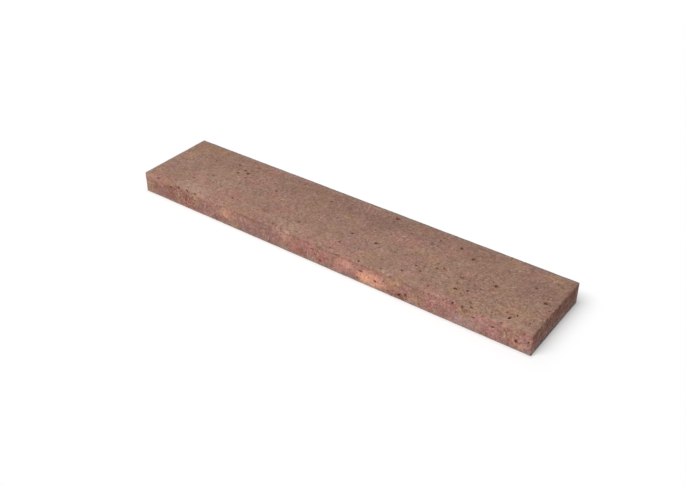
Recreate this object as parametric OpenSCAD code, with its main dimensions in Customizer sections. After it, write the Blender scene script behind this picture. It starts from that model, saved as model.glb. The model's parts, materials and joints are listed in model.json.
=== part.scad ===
// Concrete path edging: one plank pressed in a single piece, with lightly eased arrises.
// It is drawn lying on one broad face, as it lies when it is not yet set on edge in the ground.
//
// The origin is the centre of the face that it lies on. +X runs along the length,
// +Y across the breadth, which stands upright once the plank is laid, and +Z up through the thickness.

/* [Plank] */
// Length of the plank, along the path that it edges
length = 1000; // [250:10:1200]
// Breadth between the two long narrow faces, which is its height once it is laid
breadth = 200; // [100:5:400]
// Thickness between the two broad faces
thickness = 50; // [30:1:120]

/* [Arrises] */
// Radius that the mould leaves along every arris
arris_radius = 2; // [0.5:0.5:6]

/* [Hidden] */
// Fineness of the round arrises
arris_fn = 48;
concrete_colour = "#a17d6e";

// A rectangle a by b about the origin, with its four corners rounded by true arcs.
module eased_rectangle(a, b) {
    reach_a = a / 2 - arris_radius;
    reach_b = b / 2 - arris_radius;
    square([a, 2 * reach_b], center = true);
    square([2 * reach_a, b], center = true);
    for (side_a = [-1, 1], side_b = [-1, 1])
        translate([side_a * reach_a, side_b * reach_b])
            circle(r = arris_radius, $fn = arris_fn);
}

// A prism of that rectangle, a by b and c long, about the origin and along Z.
module eased_prism(a, b, c) {
    linear_extrude(height = c, center = true)
        eased_rectangle(a, b);
}

// The plank: where its three eased prisms meet, one each way, all twelve arrises are round.
module edging_slab() {
    color(concrete_colour)
        translate([0, 0, thickness / 2])
            intersection() {
                eased_prism(length, breadth, thickness);
                rotate([90, 0, 0])
                    eased_prism(length, thickness, breadth);
                rotate([0, 90, 0])
                    eased_prism(thickness, breadth, length);
            }
}

edging_slab();
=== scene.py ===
"""Concrete path edging: one pressed plank with its pores, chipped arrises and mottled red-brown skin,
lying on a pale floor under soft studio light."""

import json
import math
import random
from collections import defaultdict

import bmesh
import bpy
from bpy.props import FloatProperty, FloatVectorProperty, IntProperty, PointerProperty
from mathutils import Matrix, Vector, noise


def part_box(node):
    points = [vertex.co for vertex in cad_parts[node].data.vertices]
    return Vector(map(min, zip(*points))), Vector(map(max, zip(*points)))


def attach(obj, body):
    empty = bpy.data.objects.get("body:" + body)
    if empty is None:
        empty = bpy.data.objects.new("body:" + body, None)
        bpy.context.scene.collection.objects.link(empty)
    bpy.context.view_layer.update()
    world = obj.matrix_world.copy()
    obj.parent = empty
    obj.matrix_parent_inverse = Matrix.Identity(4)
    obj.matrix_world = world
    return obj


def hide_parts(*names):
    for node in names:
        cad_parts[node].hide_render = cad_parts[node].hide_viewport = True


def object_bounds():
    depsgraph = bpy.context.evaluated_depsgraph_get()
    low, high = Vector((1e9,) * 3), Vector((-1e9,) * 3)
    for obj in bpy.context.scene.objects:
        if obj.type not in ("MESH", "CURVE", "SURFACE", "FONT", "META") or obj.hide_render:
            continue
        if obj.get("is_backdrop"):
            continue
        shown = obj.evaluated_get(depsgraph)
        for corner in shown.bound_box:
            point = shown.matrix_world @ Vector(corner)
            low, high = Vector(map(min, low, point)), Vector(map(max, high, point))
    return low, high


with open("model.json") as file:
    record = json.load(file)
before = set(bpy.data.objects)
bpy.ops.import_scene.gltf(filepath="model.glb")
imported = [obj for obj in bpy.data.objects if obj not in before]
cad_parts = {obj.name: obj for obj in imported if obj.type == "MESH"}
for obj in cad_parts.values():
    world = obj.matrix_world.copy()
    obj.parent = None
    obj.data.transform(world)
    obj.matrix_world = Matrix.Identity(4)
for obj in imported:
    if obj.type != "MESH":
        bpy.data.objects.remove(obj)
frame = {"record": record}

bl_info = {
    "name": "Concrete Edging",
    "version": (1, 0, 0),
    "blender": (4, 5, 0),
    "location": "3D View > Sidebar > Edging",
    "description": "Casts a concrete edging plank with real pores and chips, and sets a pale stage round it",
    "category": "Object",
}

MM = 0.001
CAD_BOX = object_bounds()
SLAB_NODE = "edging_slab"
PLANK_NAME = "edging_plank"
CONCRETE_SLOT = frame["record"]["materials"][0]["slot"]

# The attribute that tells the concrete how deep a pore's wall lies, from 0 at its rim.
PORE_DEPTH = "pore_depth"
# The piece's own map, with its six sides laid out in rows.
SIDE_MAP = "OFBake"
MAP_ROWS = (("upper",), ("lower",), ("front",), ("back",), ("right", "left"))
MAP_MARGIN = 0.004

# The material slots that mark the faces of a cut, and how many a piece has meanwhile.
SKIN_SLOT = 0
PORE_SLOT = 1
CUT_SLOTS = 2

# How many layers the noise in the skin has, and how much finer each one is than the last.
NOISE_LAYERS = 3
NOISE_STEP = 2.0
# Lifts the noise that wears the arrises, so that more than half of their length is worn.
WEAR_LIFT = 0.25
# How far a run from arris to arris may be from its length, as a share of it.
RUN_SLACK = 0.01
# The angle past which an edge stays sharp.
SHARP_ANGLE = math.radians(38)

# Balls to a batch, lumps across a ball, and how far apart in the noise two balls' lumps are drawn.
BATCH = 30
LUMPS_ACROSS = 2.4
LUMP_SHIFT = 50

# A pore's depth between these shares of its width, and how far its middle sits below the skin.
PORE_DEPTHS = (0.9, 1.4)
PORE_SINK = 0.12
# Where a pore starts to flare below its middle, and over how much height, as shares of its depth.
FLARE_START = 0.16
FLARE_RISE = 0.26

# A chip's lumps, its two other sizes as shares of its width, its bite as a share of the deepest,
# its tilt either way, its reach from an arris's middle, and how many times the narrowest the widest is.
CHIP_LUMPS = 0.6
CHIP_THICKNESS = (0.5, 0.8)
CHIP_BREADTH = (0.6, 0.9)
CHIP_BITE = (0.5, 1.0)
CHIP_TILT = 0.3
CHIP_REACH = 0.49
CHIP_RANGE = 5

# How much more often a pore in a patch, a scattered pore or a chip is narrow than wide: 1 is evenly.
PATCH_BIAS = 1.5
SCATTER_BIAS = 3.0
CHIP_BIAS = 1.6

# The floor's reach each way, and the place, aim and size of the lamp.
FLOOR_REACH = 4.0
KEY_PLACE = (-0.15, -1.6, 1.8)
KEY_AIM = (0.0, -0.1, 0.05)
KEY_SIZE = (2.0, 0.6)


# ---- The plank's six sides ----


class Side:
    """A flat side of the plank seen from outside, with places on it measured from its upper left corner."""

    def __init__(self, corner, along, down, width, height):
        self.corner = Vector(corner)
        self.along = Vector(along)
        self.down = Vector(down)
        self.out = self.down.cross(self.along)
        self.width = width
        self.height = height

    def at(self, along, down):
        """The point this far along and down the side, in metres."""
        return self.corner + self.along * along + self.down * down

    def depth(self, point):
        """How far a point lies below the side."""
        return (self.corner - point).dot(self.out)

    def turned(self, angle):
        """The rotation that lays the X, Y and Z axes along, up and out of the side, turned about the last."""
        axes = Matrix((self.along, -self.down, self.out)).transposed()
        return axes @ Matrix.Rotation(angle, 3, "Z")


def sides_of(low, high):
    """The six sides of the box between two corners, by name."""
    size = high - low
    return {
        "upper": Side((low.x, high.y, high.z), (1, 0, 0), (0, -1, 0), size.x, size.y),
        "front": Side((low.x, low.y, high.z), (1, 0, 0), (0, 0, -1), size.x, size.z),
        "right": Side((high.x, low.y, high.z), (0, 1, 0), (0, 0, -1), size.y, size.z),
        "back": Side((high.x, high.y, high.z), (-1, 0, 0), (0, 0, -1), size.x, size.z),
        "left": Side((low.x, high.y, high.z), (0, -1, 0), (0, 0, -1), size.y, size.z),
        "lower": Side((low.x, low.y, low.z), (1, 0, 0), (0, 1, 0), size.x, size.y),
    }


SLAB_LOW, SLAB_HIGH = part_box(SLAB_NODE)
SIDES = sides_of(SLAB_LOW, SLAB_HIGH)


# ---- Pores, stains and painted shade that are listed one by one, in millimetres along and down their side ----

# By side: (along, down, width) of the pores that stand out.
MAIN_PORES = {
    "upper": (
        (156, 42, 5), (184, 54, 5), (199, 61, 6), (177, 71, 5), (201, 26, 5), (206, 79, 3.5), (96, 58, 3.5),
        (133, 72, 2.5), (34, 96, 4), (138, 114, 4), (212, 105, 3.5), (302, 83, 4), (242, 164, 4.5),
        (203, 177, 2.5), (166, 189, 2.5), (320, 69, 2.5), (266, 114, 2.5), (430, 45, 5), (414, 42, 2.5),
        (404, 122, 2.5), (423, 153, 4), (382, 192, 3.5), (393, 193, 3), (441, 107, 2.5), (588, 18, 6),
        (587, 31, 3), (612, 89, 2.5), (542, 121, 5), (537, 112, 2.5), (603, 122, 5.5), (599, 131, 2.5),
        (653, 116, 3), (538, 163, 4), (584, 159, 2.5), (610, 196, 4), (661, 190, 3.5), (756, 34, 5),
        (794, 54, 5.5), (797, 12, 3), (643, 49, 3), (707, 23, 3.5), (762, 114, 3.5), (746, 108, 3),
        (751, 124, 4), (728, 133, 3.5), (712, 140, 4), (698, 171, 4), (806, 122, 4.5), (799, 113, 2.5),
        (808, 142, 3.5), (814, 160, 5.5), (837, 152, 4.5), (830, 167, 3), (874, 107, 5), (864, 97, 3),
        (826, 98, 2.5), (899, 79, 3), (941, 67, 4), (976, 100, 6), (973, 109, 3), (992, 117, 3),
        (856, 134, 3), (941, 178, 5), (949, 164, 3.5), (929, 166, 3), (859, 181, 4), (868, 193, 4.5),
        (906, 183, 3), (767, 184, 3.5), (979, 171, 3),
    ),
    "front": (
        (43, 2, 4), (83, 12, 4), (96, 13, 4), (109, 4, 4.5), (126, 5, 4), (136, 4, 5.5), (146, 9, 4.5),
        (152, 14, 3.5), (160, 3, 4), (477, 33, 3), (493, 17, 4), (514, 38, 4.5), (556, 5, 3.5),
        (617, 21, 4.5), (609, 40, 4), (653, 31, 4), (700, 43, 4), (711, 39, 5), (726, 33, 4.5), (730, 42, 4),
        (831, 4, 4.5), (852, 3, 4), (877, 17, 3.5), (919, 20, 4), (968, 30, 5), (992, 21, 3.5), (934, 3, 3),
    ),
}

# By side: (along, down, half width, half height, strength) of the rough patches, where sand and pits show.
ROUGH_PATCHES = {
    "upper": (
        (905, 165, 120, 44, 1.0), (860, 120, 110, 60, 0.7), (965, 100, 50, 45, 0.7), (265, 85, 75, 60, 0.6),
        (190, 45, 60, 36, 0.5), (130, 175, 70, 32, 0.7), (400, 165, 60, 40, 0.6), (595, 125, 60, 40, 0.5),
        (740, 130, 60, 50, 0.7), (440, 60, 60, 50, 0.4), (880, 20, 60, 20, 0.5),
    ),
    "front": (
        (120, 24, 60, 30, 1.0), (370, 24, 26, 30, 0.8), (512, 28, 46, 26, 1.0), (712, 40, 40, 14, 0.8),
        (780, 26, 50, 26, 0.5), (850, 16, 50, 20, 0.7), (960, 26, 60, 28, 1.0),
    ),
}

# How far a stain soaks in from its side, so that it runs a little way over an arris.
STAIN_DEPTH = 12

# By colour, the undermost first, and by side: (along, down, half width, half height, strength) of a stain,
# or of painted shade where it says so.
STAINS_AND_SHADE = {
    "ochre": {
        "upper": (
            (60, 22, 60, 26, 0.35), (30, 70, 18, 34, 0.4), (300, 185, 22, 18, 0.3), (625, 170, 30, 26, 0.3),
            (700, 95, 45, 25, 0.3), (815, 165, 26, 26, 0.5), (940, 160, 52, 38, 0.5), (870, 18, 20, 13, 0.6),
            (958, 18, 34, 12, 0.6), (85, 20, 26, 12, 0.5),
        ),
        "front": (
            (14, 28, 18, 26, 0.35), (107, 26, 13, 22, 0.4), (160, 22, 18, 24, 0.35), (278, 14, 16, 16, 0.45),
            (418, 38, 20, 12, 0.4), (750, 26, 28, 24, 0.4), (945, 20, 16, 20, 0.3),
        ),
        "right": ((48, 9, 14, 12, 0.5), (28, 12, 18, 14, 0.5), (145, 12, 16, 12, 0.5)),
    },
    "pink": {
        "upper": (
            (200, 24, 18, 10, 0.6), (245, 20, 26, 12, 0.5), (22, 85, 16, 16, 0.4), (240, 162, 62, 46, 0.3),
            (335, 185, 55, 24, 0.3), (540, 180, 42, 26, 0.4), (770, 46, 15, 9, 0.7), (650, 22, 22, 10, 0.5),
            (705, 20, 20, 10, 0.4), (785, 190, 45, 14, 0.4), (60, 190, 50, 14, 0.4),
        ),
        "front": (
            (905, 20, 50, 26, 0.4), (800, 12, 50, 20, 0.5), (775, 26, 24, 14, 0.4), (485, 22, 22, 20, 0.5),
        ),
    },
    "purple": {
        "upper": (
            (560, 46, 100, 44, 0.4), (470, 36, 70, 40, 0.3), (700, 50, 42, 28, 0.45), (940, 65, 46, 34, 0.4),
            (300, 90, 120, 60, 0.15),
        ),
        "front": (
            (57, 32, 18, 22, 0.5), (180, 28, 26, 26, 0.75), (310, 28, 32, 24, 0.3), (368, 24, 24, 32, 0.35),
            (215, 30, 24, 26, 0.4), (930, 36, 24, 14, 0.3), (700, 44, 50, 10, 0.3),
        ),
        "right": ((92, 30, 14, 12, 0.6), (178, 20, 20, 20, 0.5)),
    },
    "lilac": {
        "front": (
            (850, 36, 44, 18, 0.7), (885, 26, 34, 22, 0.3), (333, 28, 14, 16, 0.35), (372, 34, 8, 10, 0.4),
            (990, 40, 22, 14, 0.7),
        ),
        "right": (
            (62, 34, 14, 12, 0.8), (125, 38, 24, 10, 0.5), (25, 41, 18, 10, 0.5), (165, 34, 18, 12, 0.5),
            (192, 30, 10, 22, 0.5), (100, 44, 120, 12, 0.4),
        ),
    },
    "pale": {
        "upper": (
            (145, 182, 70, 34, 0.5), (430, 178, 60, 24, 0.2), (960, 190, 50, 14, 0.4),
            (782, 82, 24, 18, 0.25), (190, 110, 110, 40, 0.12),
        ),
        "front": ((24, 8, 18, 10, 0.3), (418, 14, 20, 9, 0.25), (580, 16, 20, 10, 0.3)),
        "right": ((62, 36, 13, 10, 0.35),),
    },
    "red": {
        "front": (
            (57, 36, 14, 14, 0.3), (85, 26, 28, 24, 0.5), (130, 28, 28, 26, 0.5), (136, 37, 17, 12, 0.85),
            (513, 28, 24, 24, 0.6), (695, 30, 26, 16, 0.3), (460, 36, 20, 14, 0.3), (830, 6, 16, 8, 0.4),
            (782, 28, 6, 14, 0.5),
        ),
        "right": (
            (8, 14, 12, 14, 0.5), (105, 12, 22, 12, 0.45), (68, 12, 14, 12, 0.35), (176, 14, 18, 12, 0.4),
            (100, 14, 130, 18, 0.15),
        ),
    },
    "salmon": {
        "front": (
            (252, 20, 24, 18, 0.22), (425, 16, 34, 14, 0.45), (450, 28, 18, 16, 0.3),
            (575, 18, 36, 20, 0.55), (970, 30, 32, 20, 0.5), (640, 20, 56, 22, 0.45),
            (540, 24, 20, 20, 0.12),
        ),
    },
    "orange": {
        "front": ((642, 33, 46, 24, 0.62), (622, 34, 22, 18, 0.4), (250, 24, 12, 12, 0.2)),
    },
    "shade": {
        # Painted shade: the upper side darker towards its back, away from the light, and along its back
        # arris.
        "upper": ((480, -20, 760, 130, 0.2), (500, 1, 600, 6, 0.3)),
        "front": (
            # A darker band under the front's upper arris and one along its foot; the spot at 218, 46 is a
            # painted shadow.
            (500, 6, 560, 5, 0.35), (500, 47, 560, 6, 0.2), (218, 46, 20, 9, 0.8), (418, 40, 18, 9, 0.35),
            (90, 26, 170, 34, 0.2), (135, 14, 14, 12, 0.1),
        ),
        "right": (
            (25, 40, 14, 8, 0.3), (68, 10, 13, 14, 0.45), (106, 10, 16, 14, 0.4), (180, 12, 16, 14, 0.35),
        ),
    },
    "rust": {
        "front": ((683, 44, 20, 9, 0.8), (714, 42, 28, 10, 0.75), (612, 44, 16, 7, 0.4)),
        "right": ((100, 10, 260, 28, 0.22),),
    },
    "lime": {
        "upper": ((-1, 100, 12, 400, 0.6), (500, -1, 1500, 20, 0.35)),
        "front": ((500, 52, 1400, 13, 0.5),),
        "right": ((100, 52, 400, 20, 0.6),),
    },
}

# Sides whose stains are scattered instead: how many of each colour to a metre, how far they reach
# along and down, in millimetres, and how strong they are.
PLAIN_SIDES = ("back", "left", "lower")
STAIN_SCATTER = {
    "ochre": 7, "pink": 6, "purple": 7, "lilac": 4, "red": 5, "salmon": 3, "orange": 1, "shade": 2,
}
STAIN_REACHES = ((16, 46), (12, 30))
STAIN_STRENGTHS = (0.25, 0.65)
STAIN_SEED = 5
# The share of its reach within which a stain has its full strength.
STAIN_CORE = 0.25

# How far borders wander, and the size of their bends. Grains and pits wander by a share of it.
WANDER_REACH = 16 * MM
WANDER_SIZE = 14 * MM
BEND_SHARE = 0.4

# How far the broad sides' skin laps over an arris, how soft its border is, and the size of its bends.
SKIN_LAP = 3.0 * MM
LAP_SOFTNESS = 1.5 * MM
LAP_BENDS = 16 * MM

# (colour, size, start) of the faint clouds that cover every side, how much noise one takes to reach
# its full strength, how far apart they are drawn, and their share on broad and on narrow sides.
CLOUDS = (
    ("pink", 70, 0.52), ("purple", 85, 0.52), ("ochre", 55, 0.56), ("pale", 40, 0.6), ("red", 45, 0.6),
    ("ochre", 24, 0.52), ("pink", 30, 0.52), ("purple", 20, 0.54),
)
CLOUD_RISE = 0.2
CLOUD_SHIFT = (0.7, 0.3, 0.0)
CLOUD_SHARES = (0.4, 0.9)

# How dark the arrises are painted: some dirt on the worn arris, and painted shade that dulls the highlight on
# its rounding.
ARRIS_DIRT_AND_SHADE = 0.35
# How rough the smoothest skin is, the size of rough clouds, and where in their noise one starts and is full.
LEAST_ROUGH = 0.35
ROUGH_CLOUD_SIZE = 60 * MM
ROUGH_CLOUDS = (0.45, 0.75)

# (size, strength) of the pale and dark specks, and where in their noise a speck starts and is full.
SPECKLES = ((3.2, 0.5), (6.0, 0.4))
PALE_SPECKS = (0.54, 0.72)
DARK_SPECKS = (0.46, 0.28)

# (size, strength) of the changes in lightness, from fine to coarse. They are multiplied by the first
# range from broad to narrow sides, and by as much more again as the second says on the ends.
MOTTLES = ((3.0, 0.2), (6.0, 0.42), (12.0, 0.35), (28.0, 0.2), (60.0, 0.12), (130.0, 0.1))
MOTTLE_SHARES = (0.97, 1.07)
END_MOTTLE_SHARES = (0.0, 0.7)
# Darker is also redder, as it is in wet or dirty concrete: the powers of green and blue.
GREEN_POWER = 1.3
BLUE_POWER = 1.5

# How dull the skin is, from least to most, over which part of its noise, the noise's size, and its shine.
DULLNESS = (0.82, 0.96)
DULL_SPAN = (0.3, 0.7)
DULL_SIZE = 9 * MM
SHINE = 0.3
# The size of the sand's grains, how much they differ in lightness, how high and how round they are.
SAND_SIZE = 0.9 * MM
SAND_TONE = 0.3
SAND_HEIGHT = 0.22 * MM
SAND_ROUNDNESS = 0.6

# (spacing, width, share of the places that have one) of the large grains and of the small pits,
# how pale the grains are, how dark the pits are, with dirt and painted shade, and how deep they are in
# heights of the sand.
LARGE_GRAINS = (6.5, 5.0, 0.6)
FINE_PITS = (3.4, 1.2, 0.5)
WIDE_PITS = (7.5, 4.5, 0.6)
GRAIN_SHARE = 0.8
PIT_DIRT_AND_SHADE = 0.7
PIT_DEPTH = 2.0
# How much finer the rubble between the sand's grains is, and how far the grains stand out of it.
RUBBLE_FINENESS = 1.7
GRAIN_BULGE = 0.6
# A dot's reach as shares of its width, and the share of it that has the dot's full strength.
DOT_REACHES = (0.25, 0.6)
DOT_CORE = 0.5
# The depth below the skin at which a pore's wall has turned quite dark, with dirt and painted shade.
PORE_DIRT_AND_SHADE_DEPTH = 2.1 * MM

# By side: (along, down, half width, half height, number, narrowest, widest) of the patches full of pores,
# and how near to their side's upper edge they come.
PORE_PATCHES = {
    "front": (
        (118, 14, 52, 14, 52, 1.8, 3.8), (64, 32, 34, 14, 30, 1.5, 3.0), (513, 26, 46, 22, 70, 1.0, 2.2),
        (712, 38, 28, 10, 26, 1.5, 3.5), (830, 12, 52, 10, 24, 1.2, 2.5), (935, 28, 70, 20, 40, 1.2, 2.6),
    ),
    "upper": (
        (600, 112, 55, 42, 50, 1.5, 2.4), (860, 130, 130, 66, 210, 1.5, 2.4),
        (190, 60, 45, 36, 34, 1.5, 2.6), (270, 112, 72, 60, 70, 1.5, 2.4), (440, 120, 60, 60, 50, 1.5, 2.3),
    ),
}
PATCH_EDGE = 1.5


# ---- The plank's mesh ----


def block_mesh(shape):
    """The plank as a closed mesh of small cells, with round arrises, in a new bmesh."""
    bm = bmesh.new()
    bmesh.ops.create_cube(bm, size=1.0)
    bmesh.ops.scale(bm, vec=SLAB_HIGH - SLAB_LOW, verts=bm.verts)
    bmesh.ops.translate(bm, vec=(SLAB_HIGH + SLAB_LOW) / 2, verts=bm.verts)
    bmesh.ops.bevel(
        bm,
        geom=bm.edges[:],
        offset=shape.arris_radius,
        offset_type="OFFSET",
        segments=shape.arris_segments,
        profile=0.5,
        affect="EDGES",
        material=-1,
    )
    for axis in range(3):
        run = (SLAB_HIGH - SLAB_LOW)[axis] - 2 * shape.arris_radius
        edges = [edge for edge in bm.edges if runs_between_arrises(edge, axis, run)]
        cuts = math.ceil(run / shape.cell) - 1
        bmesh.ops.subdivide_edges(bm, edges=edges, cuts=cuts, use_grid_fill=True)
    return bm


def runs_between_arrises(edge, axis, run):
    """Whether an edge goes the whole way from one arris to the other along this axis."""
    reach = edge.verts[1].co - edge.verts[0].co
    return abs(abs(reach[axis]) - run) < RUN_SLACK * run


def lumpy(point, size, evenness):
    """Noise about zero with lumps of this size and finer ones on them, which are fainter the evener it is."""
    return noise.fractal(point / size, evenness, NOISE_STEP, NOISE_LAYERS)


def wave_at(point, shape):
    """How far the skin lies below a true side here."""
    wave = lumpy(point, shape.wave_length, 1.0)
    return shape.wave_height * min(max(0.5 + 0.5 * wave, 0.0), 1.0)


def wear_block(bm, shape):
    """Moves the skin in a little: long shallow waves on the sides, and more where an arris has worn."""
    bm.normal_update()
    moves = []
    for vert in bm.verts:
        depths = sorted(side.depth(vert.co) for side in SIDES.values())
        nearness = 1 - min(depths[1] / shape.wear_reach, 1.0)
        scuff = max(lumpy(vert.co, shape.wear_length, 0.8) + WEAR_LIFT, 0.0)
        moves.append(-vert.normal * (wave_at(vert.co, shape) + shape.wear_depth * nearness * scuff))
    for vert, move in zip(bm.verts, moves):
        vert.co += move


# ---- Pores and chips, as lumpy balls that are cut out of the plank ----


class Spacing:
    """Keeps balls apart, because the cut needs balls that don't touch each other."""

    CELL = 16 * MM

    def __init__(self):
        self.near = defaultdict(list)

    def cell_of(self, point):
        return tuple(math.floor(part / self.CELL) for part in point)

    def claim(self, point, radius):
        """Takes this room if nothing is in it, and says whether it did."""
        x, y, z = self.cell_of(point)
        steps = (-1, 0, 1)
        cells = ((x + i, y + j, z + k) for i in steps for j in steps for k in steps)
        if any((point - other).length < radius + reach for cell in cells for other, reach in self.near[cell]):
            return False
        self.near[x, y, z].append((point, radius))
        return True


class Ball:
    """One lumpy ball to cut out: where it sits, how it is turned, its three diameters and its fineness.
    A flare widens its upper half, so that a hole gets a crumbled rim."""

    def __init__(self, place, turn, widths, fineness, flare=0.0):
        self.place = place
        self.turn = turn
        self.widths = Vector(widths)
        self.fineness = fineness
        self.flare = flare

    def reach(self, lumps):
        """Radius of the room that it needs."""
        return max(self.widths) / 2 * (1 + lumps / 2) * (1 + self.flare)

    def shape(self, verts, lumps, shift):
        """Makes this ball from the vertices of a round one, one metre across."""
        for vert in verts:
            vert.co *= 1 + lumps * noise.noise(vert.co * LUMPS_ACROSS + shift)
            mouth = min(max((vert.co.z + FLARE_START) / FLARE_RISE, 0.0), 1.0)
            vert.co.xy *= 1 + self.flare * mouth * mouth * (3 - 2 * mouth)
            vert.co = self.place + self.turn @ (vert.co * self.widths)


def pore_ball(side, along, down, width, rng, shape, pores):
    """The ball for a pore that opens this wide on this side. It sits a little below, so its rim is steep.
    Narrow pores are shallow ones."""
    stretch = rng.uniform(1.0, pores.stretch)
    fullness = (width - pores.shallow_width) / (pores.deep_width - pores.shallow_width)
    depth = width * rng.uniform(*PORE_DEPTHS) * min(max(fullness, pores.shallowness), 1.0)
    point = side.at(along, down)
    place = point - side.out * (wave_at(point, shape) + PORE_SINK * width)
    fineness = 3 if width > pores.fine_width else 2 if width > pores.coarse_width else 1
    widths = (width * stretch, width / stretch, depth)
    return Ball(place, side.turned(rng.uniform(0, math.tau)), widths, fineness, pores.flare)


def power_between(rng, narrowest, widest, bias):
    """A width between two, more often a narrow one the higher the bias."""
    return narrowest * (widest / narrowest) ** (rng.random() ** bias)


def plan_pores(shape, pores):
    """Every pore's ball: those listed one by one, the largest first, then the full patches, then a scatter
    over every side. A pore that would touch an earlier one is left out."""
    rng = random.Random(pores.seed)
    spacing = Spacing()
    balls = []

    def place(side, along, down, width):
        ball = pore_ball(side, along, down, width, rng, shape, pores)
        if spacing.claim(ball.place, ball.reach(pores.lumps)):
            balls.append(ball)

    for name, spots in MAIN_PORES.items():
        for along, down, width in sorted(spots, key=lambda spot: -spot[2]):
            place(SIDES[name], along * MM, down * MM, width * MM + pores.crumble)
    for name, patches in PORE_PATCHES.items():
        for along, down, half_width, half_height, count, narrowest, widest in patches:
            for _ in range(count):
                away = math.sqrt(rng.random())
                turn = rng.uniform(0, math.tau)
                x = along + half_width * away * math.cos(turn)
                y = max(down + half_height * away * math.sin(turn), PATCH_EDGE)
                width = power_between(rng, narrowest, widest, PATCH_BIAS)
                place(SIDES[name], x * MM, y * MM, width * MM)
    for name, side in SIDES.items():
        widest = pores.plain_widest if name in PLAIN_SIDES else pores.widest
        for _ in range(round(pores.per_square_metre * side.width * side.height)):
            width = power_between(rng, pores.narrowest, widest, SCATTER_BIAS)
            place(side, rng.uniform(0, side.width), rng.uniform(0, side.height), width)
    return balls


def arrises():
    """Each arris as its middle, its direction, its outward diagonal and its length."""
    middle = (SLAB_LOW + SLAB_HIGH) / 2
    half = (SLAB_HIGH - SLAB_LOW) / 2
    found = []
    for axis in range(3):
        direction = Vector(float(part == axis) for part in range(3))
        for first in (-1, 1):
            for second in (-1, 1):
                signs = [first, second]
                signs.insert(axis, 0)
                corner = Vector(signs)
                found.append((middle + half * corner, direction, corner.normalized(), 2 * half[axis]))
    return found


def plan_chips(shape):
    """The balls that bite shallow chips out of the arrises."""
    rng = random.Random(shape.chip_seed)
    spacing = Spacing()
    balls = []
    bevel_gap = (math.sqrt(2) - 1) * shape.arris_radius
    for middle, direction, diagonal, run in arrises():
        axes = Matrix((direction, diagonal, direction.cross(diagonal))).transposed()
        for _ in range(round(shape.chips_per_metre * run)):
            width = power_between(rng, shape.chip_width / CHIP_RANGE, shape.chip_width, CHIP_BIAS)
            bite = shape.chip_depth * (width / shape.chip_width) * rng.uniform(*CHIP_BITE)
            thickness = width * rng.uniform(*CHIP_THICKNESS)
            place = middle + direction * run * rng.uniform(-CHIP_REACH, CHIP_REACH)
            place = place + diagonal * (thickness / 2 - bevel_gap - bite)
            turn = axes @ Matrix.Rotation(rng.uniform(-CHIP_TILT, CHIP_TILT), 3, "Y")
            ball = Ball(place, turn, (width, thickness, width * rng.uniform(*CHIP_BREADTH)), 2)
            if spacing.claim(ball.place, ball.reach(CHIP_LUMPS)):
                balls.append(ball)
    return balls


def ball_cutter(balls, lumps, slot, seed):
    """One object of all these balls, whose faces take this material slot.
    They are made in small batches, because each operator walks its whole bmesh."""
    rng = random.Random(seed)
    whole = bmesh.new()
    for start in range(0, len(balls), BATCH):
        batch = bmesh.new()
        for ball in balls[start : start + BATCH]:
            made = bmesh.ops.create_icosphere(batch, subdivisions=ball.fineness, radius=0.5)["verts"]
            ball.shape(made, lumps, Vector(rng.uniform(-LUMP_SHIFT, LUMP_SHIFT) for _ in range(3)))
        for face in batch.faces:
            face.material_index = slot
        part = bpy.data.meshes.new("batch")
        batch.to_mesh(part)
        batch.free()
        whole.from_mesh(part)
        bpy.data.meshes.remove(part)
    return object_from(whole, "cutter", slots=CUT_SLOTS)


def object_from(bm, name, material=None, slots=1):
    """A new object that holds this bmesh, which is freed, with its material in this many slots."""
    mesh = bpy.data.meshes.new(name)
    bm.to_mesh(mesh)
    bm.free()
    for _ in range(slots):
        mesh.materials.append(material)
    piece = bpy.data.objects.new(name, mesh)
    bpy.context.scene.collection.objects.link(piece)
    return piece


def cut_out(piece, cutter):
    """Cuts the cutter's balls out of the piece and removes the cutter. The cut faces keep its slot."""
    cut = piece.modifiers.new("cut", "BOOLEAN")
    cut.operation = "DIFFERENCE"
    cut.solver = "MANIFOLD"
    cut.object = cutter
    depsgraph = bpy.context.evaluated_depsgraph_get()
    done = bpy.data.meshes.new_from_object(piece.evaluated_get(depsgraph), depsgraph=depsgraph)
    piece.modifiers.remove(cut)
    spent = [piece.data, cutter.data]
    piece.data = done
    bpy.data.objects.remove(cutter)
    for mesh in spent:
        bpy.data.meshes.remove(mesh)


def mark_pore_walls(mesh):
    """Writes how deep each point of a pore's wall lies. The skin and the pores' rims stay at nothing."""
    skin = {vertex for face in mesh.polygons if face.material_index != PORE_SLOT for vertex in face.vertices}
    depths = mesh.attributes.new(PORE_DEPTH, "FLOAT", "POINT").data
    for vertex in mesh.vertices:
        if vertex.index not in skin:
            depths[vertex.index].value = min(side.depth(vertex.co) for side in SIDES.values())
    for face in mesh.polygons:
        face.material_index = SKIN_SLOT


def map_places():
    """Where each side goes on the piece's map: its left, its top, its width and its height."""
    total = sum(SIDES[row[0]].height for row in MAP_ROWS)
    free = 1 - MAP_MARGIN * (len(MAP_ROWS) + 1)
    places = {}
    top = 1 - MAP_MARGIN
    for row in MAP_ROWS:
        height = free * SIDES[row[0]].height / total
        width = (1 - MAP_MARGIN * (len(row) + 1)) / len(row)
        for column, name in enumerate(row):
            places[name] = (MAP_MARGIN + column * (width + MAP_MARGIN), top, width, height)
        top -= height + MAP_MARGIN
    return places


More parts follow.
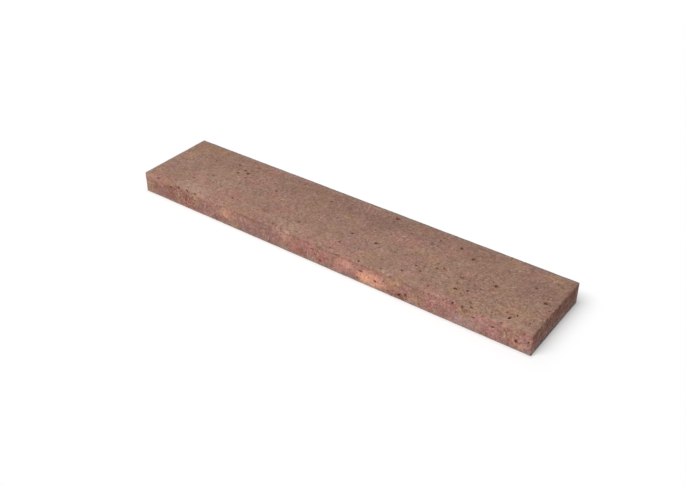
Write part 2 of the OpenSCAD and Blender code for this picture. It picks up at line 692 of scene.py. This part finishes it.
def map_sides(mesh):
    """Lays the plank's six sides out on one map, each face on the side that it is nearest to."""
    layer = mesh.uv_layers.new(name=SIDE_MAP)
    places = map_places()
    for face in mesh.polygons:
        name = min(SIDES, key=lambda name: SIDES[name].depth(face.center))
        side = SIDES[name]
        left, top, width, height = places[name]
        for loop in face.loop_indices:
            away = mesh.vertices[mesh.loops[loop].vertex_index].co - side.corner
            across = away.dot(side.along) / side.width
            down = away.dot(side.down) / side.height
            layer.uv[loop].vector = (left + width * across, top - height * down)


# ---- Settings ----


def plain_number(name, description, default, **more):
    """A property for a plain number."""
    return FloatProperty(name=name, description=description, default=default, **more)


def whole_number(name, description, default, **more):
    """A property for a whole number."""
    return IntProperty(name=name, description=description, default=default, **more)


def length(name, description, millimetres):
    """A property for a length, from its default in millimetres."""
    return plain_number(name, description, millimetres * MM, min=0.0, unit="LENGTH", precision=5)


def angle(name, description, degrees):
    """A property for an angle, from its default in degrees."""
    return plain_number(name, description, math.radians(degrees), subtype="ANGLE")


def colour(name, description, red, green, blue):
    """A property for a colour in linear light."""
    return FloatVectorProperty(
        name=name,
        description=description,
        default=(red, green, blue),
        size=3,
        min=0.0,
        max=1.0,
        subtype="COLOR",
    )


class EdgingShape(bpy.types.PropertyGroup):
    """How the plank's skin departs from a true block"""

    arris_radius: length("Arris Radius", "Radius that the mould leaves along every arris", 2.0)
    arris_segments: whole_number("Arris Segments", "Facets across each round arris", 4, min=1, max=8)
    cell: length("Cell", "Longest side of the mesh's cells", 8.0)
    wave_length: length("Wave Length", "Length of the shallow waves in the sides", 90.0)
    wave_height: length("Wave Height", "Depth of the shallow waves in the sides", 0.25)
    wear_length: length("Wear Length", "Length of the worn stretches of an arris", 22.0)
    wear_depth: length("Wear Depth", "How far an arris is worn back at most", 0.5)
    wear_reach: length("Wear Reach", "How far from an arris the wear ends", 3.0)
    chips_per_metre: plain_number("Chips per Metre", "Chips out of each metre of arris", 14.0, min=0.0)
    chip_width: length("Chip Width", "Length of the largest chip along its arris", 9.0)
    chip_depth: length("Chip Depth", "How far the deepest chip bites into its arris", 1.1)
    chip_seed: whole_number("Chip Seed", "Starts the scatter of chips", 11)


class EdgingPores(bpy.types.PropertyGroup):
    """The air holes that the concrete's skin is full of"""

    seed: whole_number("Seed", "Starts the scatter of pores", 7)
    per_square_metre: plain_number("Pores per Square Metre", "Pores scattered over each square metre", 3200.0)
    narrowest: length("Narrowest", "Width of the smallest pore", 0.9)
    widest: length("Widest", "Width of the largest scattered pore", 4.4)
    plain_widest: length("Widest on Plain Sides", "The same where no pores are placed by hand", 5.0)
    fine_width: length("Fine Width", "Pores wider than this get the finest mesh", 3.7)
    coarse_width: length("Coarse Width", "Pores narrower than this get the coarsest mesh", 1.9)
    deep_width: length("Deep Width", "Pores wider than this are round and deep", 6.0)
    crumble: length("Crumble", "How much wider the pores placed by hand have crumbled", 0.8)
    shallow_width: length("Shallow Width", "Pores would be flat at this width", 0.8)
    shallowness: plain_number("Shallowness", "Least depth, as a share of a deep pore's", 0.4)
    stretch: plain_number("Stretch", "Most that a pore is longer one way", 1.35, min=1.0)
    flare: plain_number("Flare", "How much wider a pore's crumbled rim is than its throat", 0.55, min=0.0)
    lumps: plain_number("Lumps", "How uneven a pore's wall is", 0.35, min=0.0, max=1.0, subtype="FACTOR")


class EdgingColours(bpy.types.PropertyGroup):
    """The colours of the concrete"""

    broad: colour("Broad Sides", "Tan-brown of the two broad sides", 0.304, 0.180, 0.131)
    narrow: colour("Narrow Sides", "Pinkish red of the edges and ends", 0.275, 0.132, 0.104)
    pale: colour("Pale Sand", "Where fine sand shows through the skin", 0.44, 0.29, 0.225)
    ochre: colour("Ochre", "Yellowish cloudy patches", 0.355, 0.209, 0.113)
    pink: colour("Pink", "Faint pink patches where pigment gathered", 0.40, 0.173, 0.151)
    salmon: colour("Salmon", "Smooth salmon patches on the edges", 0.50, 0.225, 0.165)
    orange: colour("Orange", "The brightest salmon-orange patch", 0.74, 0.36, 0.225)
    red: colour("Brick Red", "Rough dark red patches on the edges", 0.285, 0.087, 0.074)
    purple: colour("Purple", "Dull dark purple-brown patches", 0.25, 0.135, 0.120)
    lilac: colour("Lilac", "Pale grey-lilac bloom low on the edges and ends", 0.35, 0.215, 0.200)
    lime: colour("Lime", "Greyish bloom along the outer arrises", 0.30, 0.24, 0.22)
    rust: colour("Rust", "Dark rusty patches low on the edges", 0.21, 0.075, 0.04)
    # Shade is also laid on as painted shade along the arrises and on parts of the sides.
    shade: colour("Shade", "Darker brown specks and lines", 0.155, 0.075, 0.050)
    # The bottom of a pore: dirt and painted shade.
    pore: colour("Pore", "Bottom of a deep pore", 0.145, 0.056, 0.034)


class EdgingStage(bpy.types.PropertyGroup):
    """The floor, lamps and camera"""

    azimuth: angle("Azimuth", "Turn of the camera round the plank", 36.22)
    elevation: angle("Elevation", "Height of the camera above the horizon", 34.18)
    roll: angle("Roll", "Turn of the camera about its own view", 0.05)
    distance: length("Distance", "Distance from the camera to the point it looks at", 1952.0)
    aim: FloatVectorProperty(
        name="Aim",
        description="Point that the camera looks at",
        default=(23.7 * MM, -32.1 * MM, 25 * MM),
        subtype="TRANSLATION",
    )
    lens: plain_number("Lens", "Focal length on a 36 mm sensor", 48.29, unit="CAMERA")
    key_power: plain_number("Key Light", "Power of the long soft box in front", 58.0, unit="POWER")
    sky_strength: plain_number("Sky", "Strength of the even light from all round", 0.32)
    floor_bounce: plain_number("Floor Bounce", "How pale the floor is to the light that it throws back", 0.65)
    shadow_share: plain_number("Shadow", "Share that shows right beside the plank", 0.77, subtype="FACTOR")
    shadow_fall: plain_number("Shadow Fall", "How fast it fades near the plank: 1 is evenly", 1.3)
    shadow_reach: length("Shadow Reach", "How far from the plank the floor has turned to plain white", 55.0)
    # Painted shadow where the plank meets the floor: the floor's own colour greys over this width, to this
    # grey.
    contact_shadow_reach: length("Contact Reach", "Width of the darker line where the plank meets the floor", 9.0)
    contact_shadow_grey: plain_number("Contact Grey", "How pale that line is right at the plank", 0.86)


# ---- Shader nodes ----


# A Mix node repeats its sockets' names, so they go by number.
MIX_MASK = 0
MIX_BELOW = 6
MIX_ABOVE = 7
MIX_RESULT = 2


class Sketch:
    """Adds nodes to a node tree, each one fed by plain values or by the sockets of others."""

    def __init__(self, tree):
        self.tree = tree

    def add(self, kind, inputs=(), **settings):
        """A new node. Its inputs go by name or number."""
        node = self.tree.nodes.new("ShaderNode" + kind)
        for name, value in settings.items():
            setattr(node, name, value)
        for key, value in dict(inputs).items():
            self.feed(node.inputs[key], value)
        return node

    def feed(self, socket, value):
        """Links a socket to what feeds it, or sets its value."""
        if isinstance(value, bpy.types.NodeSocket):
            self.tree.links.new(value, socket)
        else:
            socket.default_value = value

    def group(self, group, **inputs):
        """A node group's node, whose inputs go by their names with underscores for spaces."""
        named = {name.replace("_", " ").title(): value for name, value in inputs.items()}
        node = self.add("Group", node_tree=group)
        for name, value in named.items():
            self.feed(node.inputs[name], value)
        return node.outputs

    def maths(self, operation, *values, clamp=False):
        return self.add("Math", enumerate(values), operation=operation, use_clamp=clamp).outputs[0]

    def plus(self, first, second):
        return self.maths("ADD", first, second)

    def minus(self, first, second):
        return self.maths("SUBTRACT", first, second)

    def times(self, first, second):
        return self.maths("MULTIPLY", first, second)

    def larger(self, first, second):
        return self.maths("MAXIMUM", first, second)

    def vector(self, operation, *values):
        node = self.add("VectorMath", enumerate(values), operation=operation)
        return node.outputs["Value" if operation == "LENGTH" else "Vector"]

    def fade(self, value, start, stop, low=0.0, high=1.0):
        """Goes smoothly from low to high as the value goes from start to stop, and no further."""
        inputs = {"Value": value, "From Min": start, "From Max": stop, "To Min": low, "To Max": high}
        return self.add("MapRange", inputs, interpolation_type="SMOOTHSTEP", clamp=False).outputs["Result"]

    def between(self, mask, low, high):
        """Low where the mask is 0 and high where it is 1."""
        return self.fade(mask, 0.0, 1.0, low, high)

    def mix(self, mask, below, above, blend="MIX"):
        inputs = {MIX_MASK: mask, MIX_BELOW: below, MIX_ABOVE: above}
        return self.add("Mix", inputs, data_type="RGBA", blend_type=blend).outputs[MIX_RESULT]

    def scale(self, size):
        """The scale that gives a texture this size."""
        return self.maths("DIVIDE", 1.0, size) if isinstance(size, bpy.types.NodeSocket) else 1 / size

    def noise(self, position, size, detail=2.0, roughness=0.5, output="Fac"):
        inputs = {"Vector": position, "Scale": self.scale(size), "Detail": detail, "Roughness": roughness}
        return self.add("TexNoise", inputs).outputs[output]


def new_group(name, vectors, numbers, results):
    """An empty node group with these sockets, its sketch, and the same sockets seen from inside."""
    group = bpy.data.node_groups.new(name, "ShaderNodeTree")
    sockets = (("Vector", vectors, "INPUT"), ("Float", numbers, "INPUT"), ("Float", results, "OUTPUT"))
    for kind, names, way in sockets:
        for socket in names:
            group.interface.new_socket(socket, in_out=way, socket_type="NodeSocket" + kind)
    given = group.nodes.new("NodeGroupInput").outputs
    taken = group.nodes.new("NodeGroupOutput").inputs
    return group, Sketch(group), given, taken


def block_sides_group():
    """Masks of a block's edges and ends, over whose border the broad sides' skin laps, of its ends alone,
    and of its worn arrises, where dirt and painted shade go."""
    vectors, numbers = ("Position", "Middle", "Half Size"), ("Lap", "Softness")
    group, sketch, given, taken = new_group("Block Sides", vectors, numbers, ("Narrow", "End", "Arris"))
    centred = sketch.vector("ABSOLUTE", sketch.vector("SUBTRACT", given["Position"], given["Middle"]))
    depths = sketch.add("SeparateXYZ", {0: sketch.vector("SUBTRACT", given["Half Size"], centred)}).outputs
    nearest_narrow = sketch.maths("MINIMUM", depths["X"], depths["Y"])
    ragged = sketch.times(sketch.noise(given["Position"], LAP_BENDS, detail=3.0, roughness=0.6), 2.0)
    lap = sketch.times(ragged, given["Lap"])
    lead = sketch.minus(sketch.minus(depths["Z"], nearest_narrow), lap)
    narrow = sketch.fade(lead, sketch.times(given["Softness"], -1.0), given["Softness"])
    sketch.feed(taken["Narrow"], narrow)
    sketch.feed(taken["End"], sketch.fade(depths["X"], given["Lap"], 0.0))
    farther_narrow = sketch.larger(depths["X"], depths["Y"])
    second = sketch.larger(nearest_narrow, sketch.maths("MINIMUM", farther_narrow, depths["Z"]))
    sketch.feed(taken["Arris"], sketch.fade(second, given["Lap"], 0.0))
    return group


def stain_group():
    """Adds a soft cloudy patch to a mask, from its strength in the patch's middle to 0 at its reach."""
    vectors, numbers = ("Position", "Middle", "Reach"), ("Mask", "Strength")
    group, sketch, given, taken = new_group("Stain", vectors, numbers, ("Mask",))
    away = sketch.vector("SUBTRACT", given["Position"], given["Middle"])
    away = sketch.vector("LENGTH", sketch.vector("DIVIDE", away, given["Reach"]))
    patch = sketch.fade(away, 1.0, STAIN_CORE, 0.0, given["Strength"])
    bare = sketch.minus(1.0, given["Mask"])
    sketch.feed(taken["Mask"], sketch.maths("MULTIPLY_ADD", patch, bare, given["Mask"]))
    return group


def mottle_group():
    """Cloudy lightness, as far below zero as above it."""
    group, sketch, given, taken = new_group("Mottle", ("Position",), ("Size", "Strength"), ("Tone",))
    cloud = sketch.noise(given["Position"], given["Size"], detail=1.5, roughness=0.55)
    sketch.feed(taken["Tone"], sketch.times(sketch.minus(cloud, 0.5), given["Strength"]))
    return group


def sand_group():
    """Grains of sand under a thin skin of cement: their height, and how pale or dark each one is."""
    group, sketch, given, taken = new_group("Sand", ("Position",), ("Size",), ("Height", "Tone"))
    scale = sketch.scale(given["Size"])
    pattern = {"Vector": given["Position"], "Scale": scale, "Smoothness": SAND_ROUNDNESS}
    grains = sketch.add("TexVoronoi", pattern, feature="SMOOTH_F1").outputs
    rubble_size = sketch.maths("DIVIDE", given["Size"], RUBBLE_FINENESS)
    rubble = sketch.noise(given["Position"], rubble_size, detail=3.0, roughness=0.65)
    bulge = sketch.times(sketch.minus(1.0, grains["Distance"]), GRAIN_BULGE)
    sketch.feed(taken["Height"], sketch.plus(bulge, rubble))
    shade = sketch.add("SeparateColor", {0: grains["Color"]}).outputs["Red"]
    sketch.feed(taken["Tone"], sketch.minus(shade, 0.5))
    return group


def speckle_group():
    """Masks of the pale and the dark specks in a sandy skin."""
    group, sketch, given, taken = new_group("Speckles", ("Position",), ("Size", "Strength"), ("Pale", "Dark"))
    specks = sketch.noise(given["Position"], given["Size"], detail=2.0, roughness=0.6)
    for name, span in (("Pale", PALE_SPECKS), ("Dark", DARK_SPECKS)):
        sketch.feed(taken[name], sketch.times(sketch.fade(specks, *span), given["Strength"]))
    return group


def dots_group():
    """A mask of soft round dots, one in some of the cells of a loose pattern: small pits and large grains."""
    group, sketch, given, taken = new_group("Dots", ("Position",), ("Spacing", "Width", "Share"), ("Mask",))
    pattern = {"Vector": given["Position"], "Scale": sketch.scale(given["Spacing"])}
    cells = sketch.add("TexVoronoi", pattern, feature="F1").outputs
    away = sketch.times(cells["Distance"], given["Spacing"])
    draw = sketch.add("SeparateColor", {0: cells["Color"]}).outputs
    reach = sketch.times(given["Width"], sketch.between(draw["Green"], *DOT_REACHES))
    dot = sketch.fade(away, reach, sketch.times(reach, DOT_CORE))
    chosen = sketch.maths("LESS_THAN", draw["Red"], given["Share"])
    sketch.feed(taken["Mask"], sketch.times(dot, chosen))
    return group


def stain_mask(sketch, stain, position, places):
    """A mask of one colour's stains or painted shade, stronger where they overlap."""
    mask = 0.0
    for name, spots in places.items():
        side = SIDES[name]
        for along, down, half_width, half_height, strength in spots:
            reach = side.along * half_width + side.down * half_height + side.out * STAIN_DEPTH
            mask = sketch.group(
                stain,
                mask=mask,
                position=position,
                middle=side.at(along * MM, down * MM),
                reach=[abs(part) * MM for part in reach],
                strength=strength,
            )["Mask"]
    return mask


def scattered_stains():
    """Stains for the sides that have none listed one by one, in the same form."""
    rng = random.Random(STAIN_SEED)
    found = {name: {side: [] for side in PLAIN_SIDES} for name in STAINS_AND_SHADE}
    for side in PLAIN_SIDES:
        width, height = SIDES[side].width / MM, SIDES[side].height / MM
        for name, per_metre in STAIN_SCATTER.items():
            for _ in range(math.ceil(per_metre * SIDES[side].width)):
                place = (rng.uniform(0, width), rng.uniform(0, height))
                size = (rng.uniform(*reach) for reach in STAIN_REACHES)
                found[name][side].append((*place, *size, rng.uniform(*STAIN_STRENGTHS)))
    return found


# ---- The concrete ----


class Coats:
    """A colour that is built up coat by coat from the concrete's colours."""

    def __init__(self, sketch, colours, first):
        self.sketch = sketch
        self.colours = colours
        self.result = self.rgba(first)

    def rgba(self, name):
        """The named colour, as a shader takes it."""
        return (*getattr(self.colours, name), 1)

    def add(self, name, mask):
        """Lays a colour over the others, as strongly as the mask says."""
        self.result = self.sketch.mix(mask, self.result, self.rgba(name))

    def lighten(self, tone):
        """Makes what is there lighter or darker, and redder where it gets darker."""
        maths = self.sketch.maths
        tones = {0: tone, 1: maths("POWER", tone, GREEN_POWER), 2: maths("POWER", tone, BLUE_POWER)}
        tint = self.sketch.add("CombineColor", tones).outputs[0]
        self.result = self.sketch.mix(1.0, self.result, tint, "MULTIPLY")


def wandering(sketch, position):
    """How far a border wanders from its true place here."""
    wander = sketch.noise(position, WANDER_SIZE, detail=3.0, roughness=0.6, output="Color")
    return sketch.vector("MULTIPLY", sketch.vector("SUBTRACT", wander, (0.5,) * 3), (WANDER_REACH,) * 3)


def add_clouds(coats, position, narrow):
    """Faint clouds of each pigment, stronger on the narrow sides."""
    sketch = coats.sketch
    share = sketch.between(narrow, *CLOUD_SHARES)
    for index, (name, size, start) in enumerate(CLOUDS):
        shifted = sketch.vector("ADD", position, [part * index for part in CLOUD_SHIFT])
        cloud = sketch.fade(sketch.noise(shifted, size * MM), start, start + CLOUD_RISE)
        coats.add(name, sketch.times(cloud, share))


def add_stains_and_shade(coats, stain, ragged):
    """The stains and painted shade listed one by one, with the scattered stains of the plain sides."""
    scattered = scattered_stains()
    for name, places in STAINS_AND_SHADE.items():
        coats.add(name, stain_mask(coats.sketch, stain, ragged, {**places, **scattered[name]}))


def rough_mask(sketch, stain, position, ragged):
    """How rough the skin is: most in its patches and in some clouds, and a little everywhere."""
    clouds = sketch.fade(sketch.noise(position, ROUGH_CLOUD_SIZE), *ROUGH_CLOUDS)
    rough = sketch.larger(stain_mask(sketch, stain, ragged, ROUGH_PATCHES), clouds)
    return sketch.maths("MULTIPLY_ADD", rough, 1 - LEAST_ROUGH, LEAST_ROUGH)


def add_specks(coats, position, rough):
    """Pale and dark specks, mostly where the skin is rough."""
    sketch = coats.sketch
    specks = speckle_group()
    for size, share in SPECKLES:
        strength = sketch.times(rough, share)
        masks = sketch.group(specks, position=position, size=size * MM, strength=strength)
        coats.add("pale", masks["Pale"])
        coats.add("shade", masks["Dark"])


def lightness(sketch, position, sides, sand_tone):
    """Lightness about 1 that varies from sand grains up to hand-wide clouds."""
    mottle = mottle_group()
    tone = sketch.times(sand_tone, SAND_TONE)
    for size, strength in MOTTLES:
        cloud = sketch.group(mottle, position=position, size=size * MM, strength=strength)
        tone = sketch.plus(tone, cloud["Tone"])
    narrow_share = sketch.between(sides["Narrow"], *MOTTLE_SHARES)
    end_share = sketch.between(sides["End"], *END_MOTTLE_SHARES)
    return sketch.maths("MULTIPLY_ADD", tone, sketch.plus(narrow_share, end_share), 1.0)


def dots_mask(sketch, dots, position, sizes):
    """A mask of dots, from their spacing and width in millimetres and the share of places that have one."""
    spacing, width, share = sizes
    return sketch.group(dots, position=position, spacing=spacing * MM, width=width * MM, share=share)["Mask"]


def concrete_material(colours):
    """Red-brown concrete: clouds and stains over two skin colours, sand, specks, pits and dark pores, with
    dirt and painted shade in the pits and pores and along the arrises, and painted shade on parts of the
    sides.
    """
    material = bpy.data.materials.new("red_brown_concrete")
    material.use_nodes = True
    shader = material.node_tree.nodes["Principled BSDF"]
    sketch = Sketch(material.node_tree)
    position = sketch.add("TexCoord").outputs["Object"]
    offset = wandering(sketch, position)
    ragged = sketch.vector("ADD", position, offset)
    bent = sketch.vector("ADD", position, sketch.vector("MULTIPLY", offset, (BEND_SHARE,) * 3))
    sides = sketch.group(
        block_sides_group(),
        position=position,
        middle=(SLAB_LOW + SLAB_HIGH) / 2,
        half_size=(SLAB_HIGH - SLAB_LOW) / 2,
        lap=SKIN_LAP,
        softness=LAP_SOFTNESS,
    )
    sand = sketch.group(sand_group(), position=position, size=SAND_SIZE)
    stain = stain_group()
    rough = rough_mask(sketch, stain, position, ragged)
    dots = dots_group()
    fine = dots_mask(sketch, dots, position, FINE_PITS)
    wide = sketch.times(dots_mask(sketch, dots, bent, WIDE_PITS), rough)
    grains = sketch.times(dots_mask(sketch, dots, bent, LARGE_GRAINS), sketch.times(rough, GRAIN_SHARE))
    depth = sketch.add("Attribute", attribute_name=PORE_DEPTH).outputs["Fac"]
    pits = sketch.times(sketch.larger(fine, wide), PIT_DIRT_AND_SHADE)

    coats = Coats(sketch, colours, "broad")
    coats.add("narrow", sides["Narrow"])
    add_clouds(coats, position, sides["Narrow"])
    add_stains_and_shade(coats, stain, ragged)
    # Dirt and painted shade along every arris, which dull the highlight of its rounding.
    coats.add("shade", sketch.times(sides["Arris"], ARRIS_DIRT_AND_SHADE))
    add_specks(coats, position, rough)
    coats.lighten(lightness(sketch, position, sides, sand["Tone"]))
    coats.add("pale", grains)
    # Pore walls darken with depth, and the pits too: dirt and painted shade in their hollows.
    coats.add("pore", sketch.larger(sketch.fade(depth, 0.0, PORE_DIRT_AND_SHADE_DEPTH), pits))
    sketch.feed(shader.inputs["Base Color"], coats.result)

    dullness = sketch.fade(sketch.noise(position, DULL_SIZE), *DULL_SPAN, *DULLNESS)
    sketch.feed(shader.inputs["Roughness"], dullness)
    shader.inputs["Specular IOR Level"].default_value = SHINE
    height = sketch.minus(sand["Height"], sketch.times(fine, PIT_DEPTH))
    bump = sketch.add("Bump", {"Height": height, "Distance": SAND_HEIGHT, "Strength": 1.0})
    sketch.feed(shader.inputs["Normal"], bump.outputs["Normal"])
    return material


# ---- The floor and the sky ----


def looked_at(sketch):
    """A mask that is 1 to the eye and to a reflection, and 0 to the light that falls on things."""
    path = sketch.add("LightPath").outputs
    return sketch.larger(path["Is Camera Ray"], path["Is Glossy Ray"])


def floor_material(stage):
    """Plain white to the eye, but for the plank's soft shadow and a painted shadow that greys its colour
    where the plank stands on it, and a paler or darker floor to the light.
    """
    material = bpy.data.materials.new("pale_floor")
    material.use_nodes = True
    nodes = material.node_tree.nodes
    nodes.remove(nodes["Principled BSDF"])
    sketch = Sketch(material.node_tree)
    position = sketch.add("TexCoord").outputs["Object"]
    outside = sketch.vector("SUBTRACT", sketch.vector("ABSOLUTE", position), (SLAB_HIGH.x, SLAB_HIGH.y, 1.0))
    away = sketch.vector("LENGTH", sketch.vector("MAXIMUM", outside, (0.0, 0.0, 0.0)))
    near = sketch.maths("SUBTRACT", 1.0, sketch.maths("DIVIDE", away, stage.shadow_reach), clamp=True)
    share = sketch.times(sketch.maths("POWER", near, stage.shadow_fall), stage.shadow_share)
    white = sketch.add("Emission", {"Color": (1, 1, 1, 1), "Strength": 1.0}).outputs[0]
    # Painted shadow: the floor's own colour greys where the plank stands on it.
    painted_contact_shadow = sketch.fade(away, 0.0, stage.contact_shadow_reach, stage.contact_shadow_grey, 1.0)
    grey = sketch.add("CombineColor", {0: painted_contact_shadow, 1: painted_contact_shadow, 2: painted_contact_shadow}).outputs[0]
    lit = sketch.add("BsdfDiffuse", {"Color": grey}).outputs[0]
    seen = sketch.add("MixShader", {0: share, 1: white, 2: lit}).outputs[0]
    bounce = sketch.add("BsdfDiffuse", {"Color": (stage.floor_bounce,) * 3 + (1,)}).outputs[0]
    floor = sketch.add("MixShader", {0: looked_at(sketch), 1: bounce, 2: seen})
    sketch.feed(nodes["Material Output"].inputs["Surface"], floor.outputs[0])
    return material


def sky_world(stage):
    """Even light from all round, behind which the eye sees plain white."""
    world = bpy.data.worlds.new("sky")
    world.use_nodes = True
    sketch = Sketch(world.node_tree)
    strength = sketch.between(looked_at(sketch), stage.sky_strength, 1.0)
    background = world.node_tree.nodes["Background"]
    background.inputs["Color"].default_value = (1, 1, 1, 1)
    sketch.feed(background.inputs["Strength"], strength)
    return world


# ---- The plank and the stage ----


class EDGING_OT_plank(bpy.types.Operator):
    """Casts the plank: a block with worn and chipped arrises, pores in all its sides and mottled concrete"""

    bl_idname = "edging.plank"
    bl_label = "Cast the Plank"

    def execute(self, context):
        shape = context.scene.edging_shape
        pores = context.scene.edging_pores
        concrete = concrete_material(context.scene.edging_colours)
        block = block_mesh(shape)
        wear_block(block, shape)
        plank = object_from(block, PLANK_NAME, concrete, CUT_SLOTS)
        cut_out(plank, ball_cutter(plan_chips(shape), CHIP_LUMPS, SKIN_SLOT, shape.chip_seed))
        cut_out(plank, ball_cutter(plan_pores(shape, pores), pores.lumps, PORE_SLOT, pores.seed))
        mark_pore_walls(plank.data)
        plank.data.materials.pop()
        map_sides(plank.data)
        plank.data.shade_smooth()
        plank.data.set_sharp_from_angle(angle=SHARP_ANGLE)
        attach(plank, "root")
        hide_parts(SLAB_NODE)
        return {"FINISHED"}


def add_camera(stage):
    """The camera on its arm from the point it looks at."""
    camera = bpy.data.objects.new("camera", bpy.data.cameras.new("camera"))
    camera.data.lens = stage.lens
    level = math.cos(stage.elevation)
    aside, ahead = math.sin(stage.azimuth) * level, -math.cos(stage.azimuth) * level
    back = Vector((aside, ahead, math.sin(stage.elevation)))
    turn = back.to_track_quat("Z", "Y").to_matrix() @ Matrix.Rotation(stage.roll, 3, "Z")
    camera.matrix_world = Matrix.Translation(Vector(stage.aim) + back * stage.distance) @ turn.to_4x4()
    bpy.context.scene.collection.objects.link(camera)
    bpy.context.scene.camera = camera


def add_soft_box(name, place, aim, size, power):
    """A rectangular area lamp that faces a point."""
    lamp = bpy.data.lights.new(name, "AREA")
    lamp.shape = "RECTANGLE"
    lamp.size, lamp.size_y = size
    lamp.energy = power
    box = bpy.data.objects.new(name, lamp)
    back = Vector(place) - Vector(aim)
    box.matrix_world = Matrix.Translation(place) @ back.to_track_quat("Z", "Y").to_matrix().to_4x4()
    bpy.context.scene.collection.objects.link(box)


class EDGING_OT_stage(bpy.types.Operator):
    """Sets the pale floor, the soft lamp, the sky and the camera"""

    bl_idname = "edging.stage"
    bl_label = "Set the Stage"

    def execute(self, context):
        stage = context.scene.edging_stage
        ground = bmesh.new()
        bmesh.ops.create_grid(ground, x_segments=1, y_segments=1, size=FLOOR_REACH)
        bmesh.ops.translate(ground, vec=(0, 0, SLAB_LOW.z), verts=ground.verts)
        floor = object_from(ground, "floor", floor_material(stage))
        floor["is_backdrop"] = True
        add_soft_box("key_light", KEY_PLACE, KEY_AIM, KEY_SIZE, stage.key_power)
        add_camera(stage)
        context.scene.world = sky_world(stage)
        context.scene.view_settings.view_transform = "Standard"
        return {"FINISHED"}


# ---- The add-on ----


class EDGING_PT_panel(bpy.types.Panel):
    """Lists the steps, and each one's settings under it"""

    bl_label = "Concrete Edging"
    bl_idname = "EDGING_PT_panel"
    bl_space_type = "VIEW_3D"
    bl_region_type = "UI"
    bl_category = "Edging"

    def draw(self, context):
        for operator, groups in STEPS.items():
            box = self.layout.box()
            box.operator(operator)
            for group in groups:
                settings = getattr(context.scene, group)
                for name in settings.bl_rna.properties.keys():
                    if name not in ("rna_type", "name"):
                        box.prop(settings, name)


STEPS = {
    "edging.plank": ("edging_shape", "edging_pores", "edging_colours"),
    "edging.stage": ("edging_stage",),
}
GROUPS = {
    "edging_shape": EdgingShape,
    "edging_pores": EdgingPores,
    "edging_colours": EdgingColours,
    "edging_stage": EdgingStage,
}
CLASSES = (*GROUPS.values(), EDGING_OT_plank, EDGING_OT_stage, EDGING_PT_panel)


def register():
    for cls in CLASSES:
        bpy.utils.register_class(cls)
    for name, group in GROUPS.items():
        setattr(bpy.types.Scene, name, PointerProperty(type=group))


def unregister():
    for name in GROUPS:
        delattr(bpy.types.Scene, name)
    for cls in reversed(CLASSES):
        bpy.utils.unregister_class(cls)


def main():
    """Builds the plank and its stage, and measures how large the plank came out."""
    register()
    bpy.ops.edging.plank()
    bpy.ops.edging.stage()
    boxes = {"cad": CAD_BOX, "visual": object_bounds()}
    {name: [list(corner) for corner in box] for name, box in boxes.items()}


if __name__ == "__main__":
    main()
